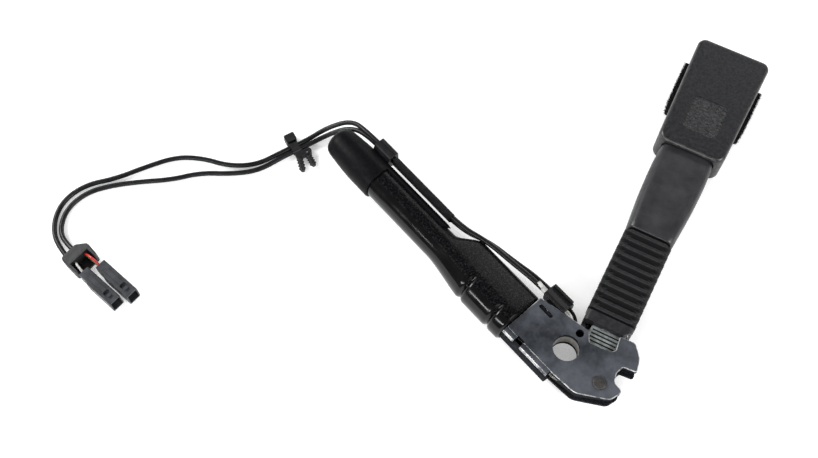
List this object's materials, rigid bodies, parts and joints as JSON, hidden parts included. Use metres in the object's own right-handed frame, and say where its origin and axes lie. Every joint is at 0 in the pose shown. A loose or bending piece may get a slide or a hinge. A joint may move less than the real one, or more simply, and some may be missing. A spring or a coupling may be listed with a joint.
{
  "type": "seat belt buckle",
  "caption": "Front seat belt buckle on a rope stalk in a rubber boot, with folded anchor bracket, buckle pretensioner tube and wired connectors.",
  "frame": {"origin": "centre of the anchor bolt hole, half way through the bracket's thickness", "axes": "+Z along the bolt, out of the bracket's window side; +Y along the buckle stalk towards the mouth; the part lies with its front face down"},
  "size_m": [0.3472, 0.3129, 0.025],
  "materials": {
    "coated_steel": "satin black electrocoat",
    "tube_paint": "glossy black paint",
    "bright_steel": "plain zinc-plated steel",
    "dull_steel": "dull brown-grey steel",
    "zinc": "die-cast zinc",
    "wire_rope": "stranded steel",
    "cap_plastic": "matte black moulding",
    "clip_plastic": "semi-matte black moulding",
    "shell_plastic": "fine-grained black moulding",
    "button_plastic": "red moulding",
    "inner_plastic": "black acetal",
    "boot_rubber": "black rubber",
    "seal_rubber": "black rubber",
    "felt": "fuzzy black felt",
    "lead_jacket": "black wire jacket",
    "textile_sleeve": "black woven sleeve",
    "grey_plastic": "grey moulding",
    "wire_red": "red wire",
    "wire_green": "green wire",
    "wire_white": "white wire",
    "wire_purple": "purple wire"
  },
  "bodies": {
    "anchor": {"anchor_bracket": "coated_steel", "anchor_sleeve": "dull_steel", "cable_guide": "zinc", "guide_rivet": "coated_steel", "pretensioner_tube": "tube_paint", "gas_generator": "bright_steel", "squib_plug": "grey_plastic", "squib_wires": "wire_white", "tube_end_cap": "cap_plastic", "cap_lead_clip": "clip_plastic", "bracket_lead_clip": "clip_plastic", "held_lead_low": "lead_jacket", "held_lead_high": "lead_jacket", "lead_sleeve": "textile_sleeve", "rope_wrap": "wire_rope", "boot_collar": "boot_rubber", "lead_to_boot": "lead_jacket", "squib_lead": "lead_jacket", "buckle_lead": "lead_jacket", "tie_clip": "clip_plastic", "connector_holder": "clip_plastic", "connector_low": "grey_plastic", "connector_high": "grey_plastic", "wire_red": "wire_red", "wire_green": "wire_green", "wire_white": "wire_white", "wire_purple": "wire_purple"},
    "piston": {"piston": "bright_steel", "piston_seal": "seal_rubber", "lock_balls": "bright_steel", "rope_ferrule": "bright_steel", "rope_tail": "wire_rope"},
    "stalk": {"rope_stiffener": "inner_plastic", "boot_bellows_low": "boot_rubber"},
    "buckle": {"boot_bellows_high": "boot_rubber", "neck_sleeve": "boot_rubber", "rope_stalk": "wire_rope", "rope_crimp": "bright_steel", "crimp_pin": "bright_steel", "latch_frame": "bright_steel", "latch_pin": "bright_steel", "rear_shell": "shell_plastic", "front_shell": "shell_plastic", "felt_wrap": "felt", "tongue_guide": "inner_plastic", "buckle_switch": "inner_plastic", "switch_lead": "lead_jacket", "release_springs": "bright_steel", "ejector_spring": "bright_steel"},
    "button": {"release_button": "button_plastic", "release_slider": "inner_plastic"},
    "ejector": {"ejector": "inner_plastic"},
    "latch": {"latch": "bright_steel"}
  },
  "joints": [
    {"name": "stalk_flex", "type": "hinge", "parent": "anchor", "child": "stalk", "pos_m": [0.0153, 0.03168, 0], "axis": [0, 0, 1], "range_deg": [-12, 12], "stiffness_Nm_per_rad": 8, "deforming": ["boot_bellows_low"]},
    {"name": "pretension_stroke", "type": "slide", "parent": "stalk", "child": "buckle", "axis": [0, -1, 0], "range_m": [0, 0.026], "deforming": ["boot_bellows_high", "rope_stalk", "switch_lead"]},
    {"name": "piston_stroke", "type": "slide", "parent": "anchor", "child": "piston", "axis": [-0.9304, 0.3665, 0], "range_m": [0, 0.026], "deforming": ["rope_tail"]},
    {"name": "release_press", "type": "slide", "parent": "buckle", "child": "button", "axis": [0, -1, 0], "range_m": [0, 0.005], "stiffness_N_per_m": 1200, "springref_m": -0.002, "deforming": ["release_springs"]},
    {"name": "ejector_push", "type": "slide", "parent": "buckle", "child": "ejector", "axis": [0, -1, 0], "range_m": [0, 0.01], "stiffness_N_per_m": 600, "springref_m": -0.003, "deforming": ["ejector_spring"]},
    {"name": "latch_swing", "type": "hinge", "parent": "buckle", "child": "latch", "pos_m": [0.0153, 0.17, -0.0034], "axis": [1, 0, 0], "range_deg": [0, 10]}
  ],
  "couplings": [
    {"joint": "piston_stroke", "follows": "pretension_stroke", "ratio": 1},
    {"joint": "latch_swing", "follows": "ejector_push", "rad_per_m": 17.453}
  ]
}
